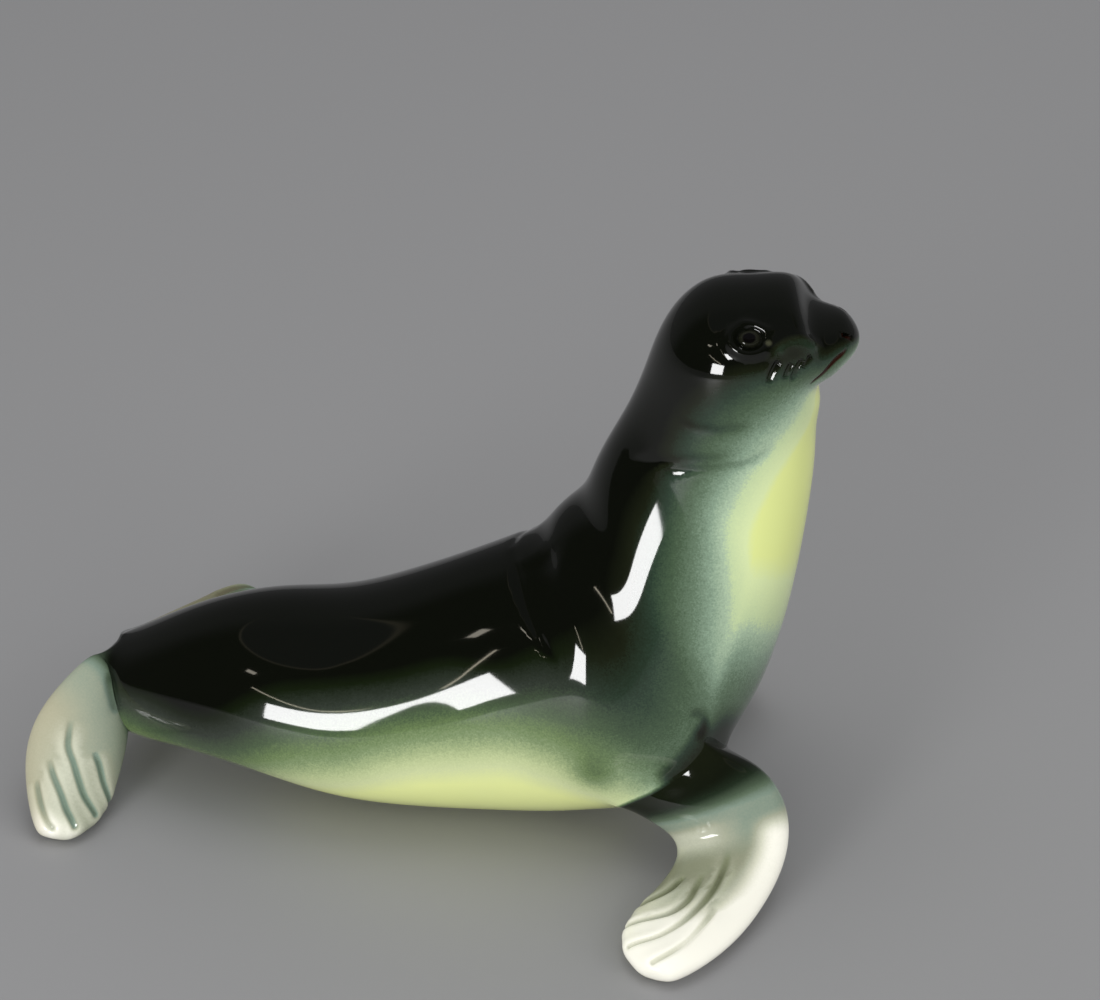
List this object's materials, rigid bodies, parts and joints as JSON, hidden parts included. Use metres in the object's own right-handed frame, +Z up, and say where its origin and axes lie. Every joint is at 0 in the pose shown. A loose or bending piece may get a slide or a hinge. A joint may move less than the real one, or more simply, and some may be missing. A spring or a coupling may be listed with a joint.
{
  "type": "seal figurine",
  "caption": "Glazed ceramic seal on its belly with head raised and flippers spread, hollow cast in one piece.",
  "frame": {"origin": "on the table, in the middle of the flat patch that the belly rests on", "axes": "+X is the way the seal looks, +Y is its left side, +Z is up"},
  "size_m": [0.1872, 0.1456, 0.1346],
  "materials": {
    "seal_glaze": "gloss green glaze on white ceramic"
  },
  "bodies": {
    "root": {"seal_body": "seal_glaze"}
  },
  "joints": []
}
